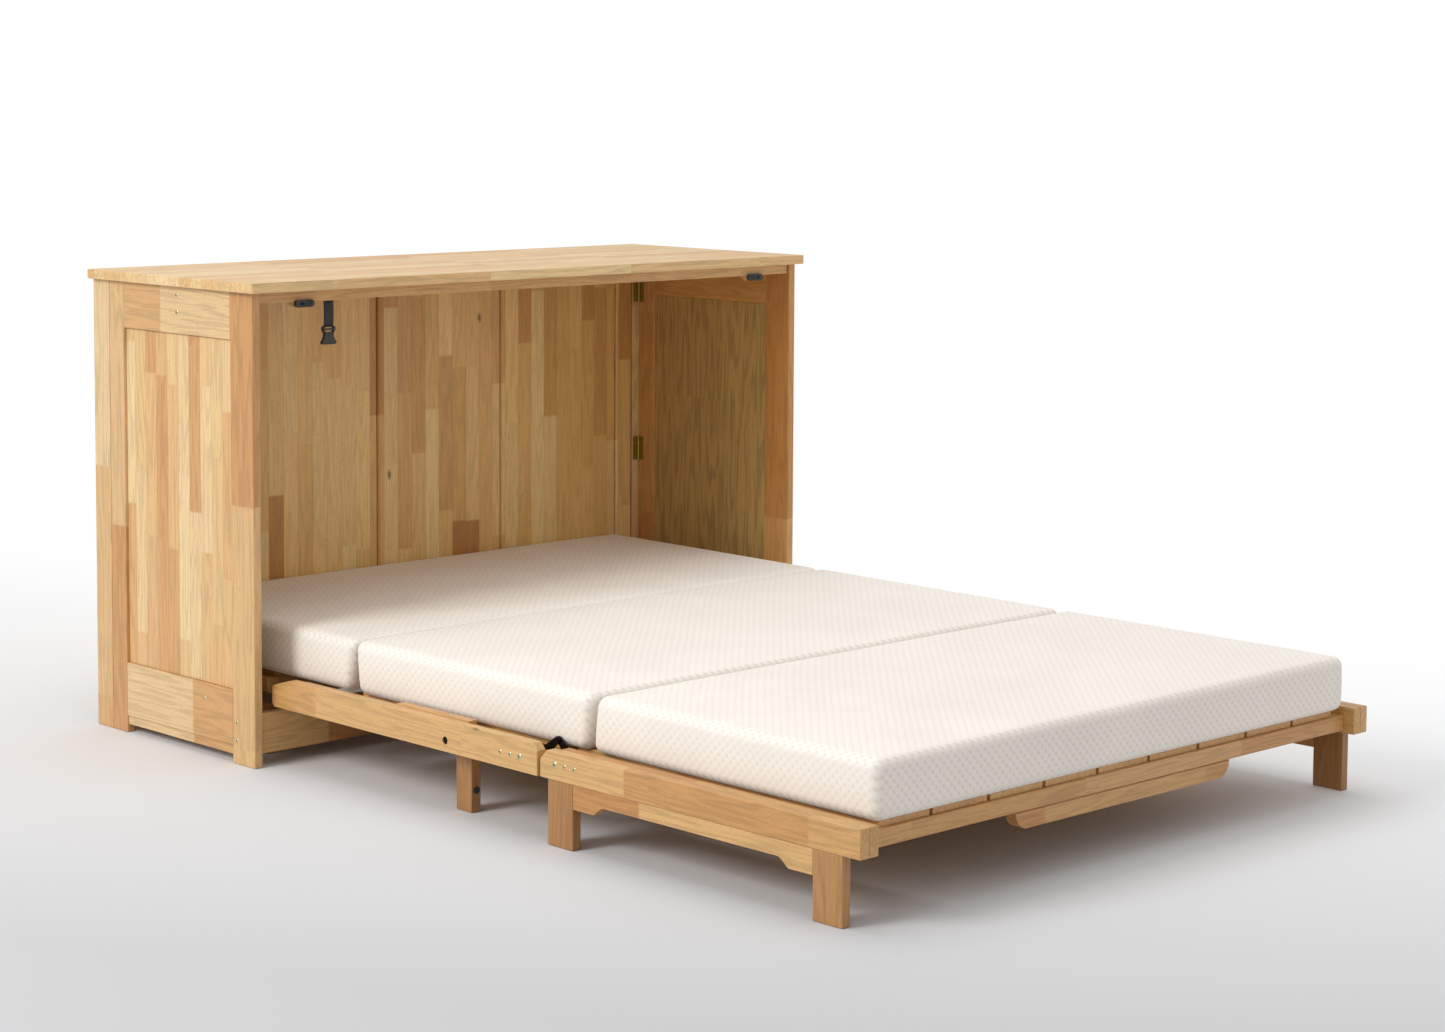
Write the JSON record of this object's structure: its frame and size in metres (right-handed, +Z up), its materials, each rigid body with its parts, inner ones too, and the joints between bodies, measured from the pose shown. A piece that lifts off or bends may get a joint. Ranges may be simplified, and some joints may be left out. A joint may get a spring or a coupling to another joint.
{
  "type": "murphy wall bed",
  "caption": "Low wooden cabinet whose front opens out as a folding slatted double bed with a sectioned mattress.",
  "frame": {"origin": "on the floor, at the centre of the open bed's length and width", "axes": "+Y towards the wall and the head end, -Y towards the foot, +Z up, X across the bed"},
  "size_m": [1.637, 2.324, 1.029],
  "materials": {
    "wood": "clear lacquered rubberwood, satin",
    "pale_wood": "clear lacquered rubberwood, satin",
    "back_wood": "clear lacquered rubberwood planks, satin",
    "plywood": "plywood, unlacquered",
    "bright_steel": "zinc plated",
    "dark_steel": "black zinc plated",
    "brass": "brass plated",
    "zinc_screws": "yellow zinc plated",
    "black_plastic": "moulded, slightly glossy",
    "black_webbing": "woven webbing",
    "mattress_cover": "knitted quilted cover, off-white"
  },
  "bodies": {
    "cabinet": {"top_panel": "pale_wood", "corner_post_left": "wood", "corner_post_right": "wood", "rear_stile_left": "wood", "rear_stile_right": "wood", "front_stile_left": "pale_wood", "front_stile_right": "pale_wood", "side_top_rail_left": "wood", "side_top_rail_right": "wood", "side_bottom_rail_left": "wood", "side_bottom_rail_right": "wood", "side_panel_left": "pale_wood", "side_panel_right": "pale_wood", "side_liners": "plywood", "back_planks": "back_wood", "back_rails": "wood", "front_apron": "wood", "plinth": "wood", "corner_hinges": "brass", "cabinet_screws": "zinc_screws", "head_rails": "wood", "head_cross_rails": "wood", "head_slats": "wood", "head_legs": "wood", "pivot_brackets": "bright_steel", "catch_screws": "zinc_screws", "strap_anchor": "black_webbing", "mattress_head": "mattress_cover"},
    "middle_frame": {"middle_rail_left": "wood", "middle_rail_right": "wood", "middle_inner_rails": "wood", "middle_cross_rails": "wood", "middle_slats": "wood", "fold_plates_middle": "bright_steel", "leg_pivot_bolts": "bright_steel", "middle_screws": "zinc_screws", "mattress_middle": "mattress_cover"},
    "foot_frame": {"foot_rail_left": "wood", "foot_rail_right": "wood", "foot_inner_rails": "wood", "foot_apron_left": "wood", "foot_apron_right": "wood", "foot_legs_left": "wood", "foot_legs_right": "wood", "foot_cross_rail": "wood", "foot_end_rail": "wood", "handle_board": "wood", "foot_slats": "wood", "fold_plates_foot": "bright_steel", "foot_screws": "zinc_screws", "mattress_foot": "mattress_cover"},
    "leg_left": {"middle_leg_left": "wood", "leg_bolt_left": "black_plastic"},
    "leg_right": {"middle_leg_right": "wood", "leg_bolt_right": "black_plastic"},
    "turn_catch_left": {"catch_left": "black_plastic"},
    "turn_catch_right": {"catch_right": "black_plastic"},
    "strap": {"strap_webbing": "black_webbing", "strap_buckle": "black_plastic"}
  },
  "joints": [
    {"name": "middle_tilt", "type": "hinge", "parent": "cabinet", "child": "middle_frame", "pos_m": [0, 0.494, 0.156], "axis": [-1, 0, 0], "range_deg": [0, 90]},
    {"name": "foot_fold", "type": "hinge", "parent": "middle_frame", "child": "foot_frame", "pos_m": [0, -0.3135, 0.192], "axis": [-1, 0, 0], "range_deg": [0, 180], "deforming": ["mattress_head", "mattress_middle", "mattress_foot"]},
    {"name": "leg_left_fold", "type": "hinge", "parent": "middle_frame", "child": "leg_left", "pos_m": [-0.695, -0.028, 0.15], "axis": [1, 0, 0], "range_deg": [0, 90]},
    {"name": "leg_right_fold", "type": "hinge", "parent": "middle_frame", "child": "leg_right", "pos_m": [0.695, -0.028, 0.15], "axis": [1, 0, 0], "range_deg": [0, 90]},
    {"name": "catch_left_turn", "type": "hinge", "parent": "cabinet", "child": "turn_catch_left", "pos_m": [-0.676, 0.555, 0.98], "axis": [0, 1, 0], "range_deg": [0, 90]},
    {"name": "catch_right_turn", "type": "hinge", "parent": "cabinet", "child": "turn_catch_right", "pos_m": [0.676, 0.555, 0.98], "axis": [0, -1, 0], "range_deg": [0, 90]},
    {"name": "strap_swing", "type": "hinge", "parent": "cabinet", "child": "strap", "pos_m": [-0.588, 0.578, 0.98], "axis": [1, 0, 0], "range_deg": [-25, 85]}
  ]
}
